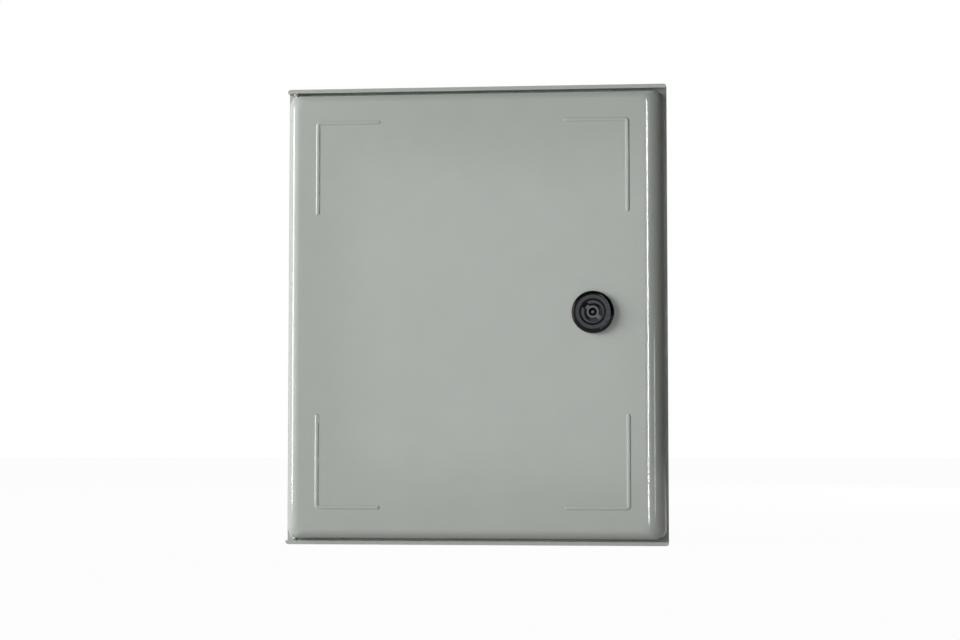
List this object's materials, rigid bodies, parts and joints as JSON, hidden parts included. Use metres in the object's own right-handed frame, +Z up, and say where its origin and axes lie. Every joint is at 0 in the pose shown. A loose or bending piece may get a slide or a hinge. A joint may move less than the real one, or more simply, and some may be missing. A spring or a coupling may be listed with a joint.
{
  "type": "wall-fixed utility cabinet",
  "caption": "Moulded wall-fixed utility cabinet with rain lips, a pivoted door with rolled edges, a quarter-turn lock and an inner mounting plate.",
  "frame": {"origin": "under the middle of the cabinet, on the plane of its underside, halfway between the lock's face and the wall pads", "axes": "+Z up, +X to the right seen from the front, the door faces -Y and the wall is at +Y"},
  "size_m": [0.4, 0.208, 0.48],
  "materials": {
    "polyester": "semi-gloss grey moulded polyester",
    "lock_black": "satin black moulded plastic",
    "foam": "matt black foamed seal",
    "steel": "zinc-plated steel",
    "nylon": "grey nylon",
    "brass": "turned brass"
  },
  "bodies": {
    "cabinet": {"body": "polyester", "mounting_plate": "steel", "plate_inserts": "brass", "plate_screws": "steel", "plate_washers": "steel"},
    "door": {"door": "polyester", "door_seal": "foam", "pivot_pin_upper": "steel", "pivot_pin_lower": "steel", "thrust_washer_upper": "nylon", "thrust_washer_lower": "nylon", "lock_washer": "foam", "lock_housing": "lock_black", "lock_nut": "lock_black"},
    "lock": {"lock_insert": "lock_black", "lock_cam": "steel", "cam_washer": "steel", "cam_screw": "steel"}
  },
  "joints": [
    {"name": "door_swing", "type": "hinge", "parent": "cabinet", "child": "door", "pos_m": [-0.191, -0.0815, 0.24], "axis": [0, 0, -1], "range_deg": [0, 110]},
    {"name": "lock_turn", "type": "hinge", "parent": "door", "child": "lock", "pos_m": [0.123, -0.096, 0.241], "axis": [0, 1, 0], "range_deg": [0, 90]}
  ]
}
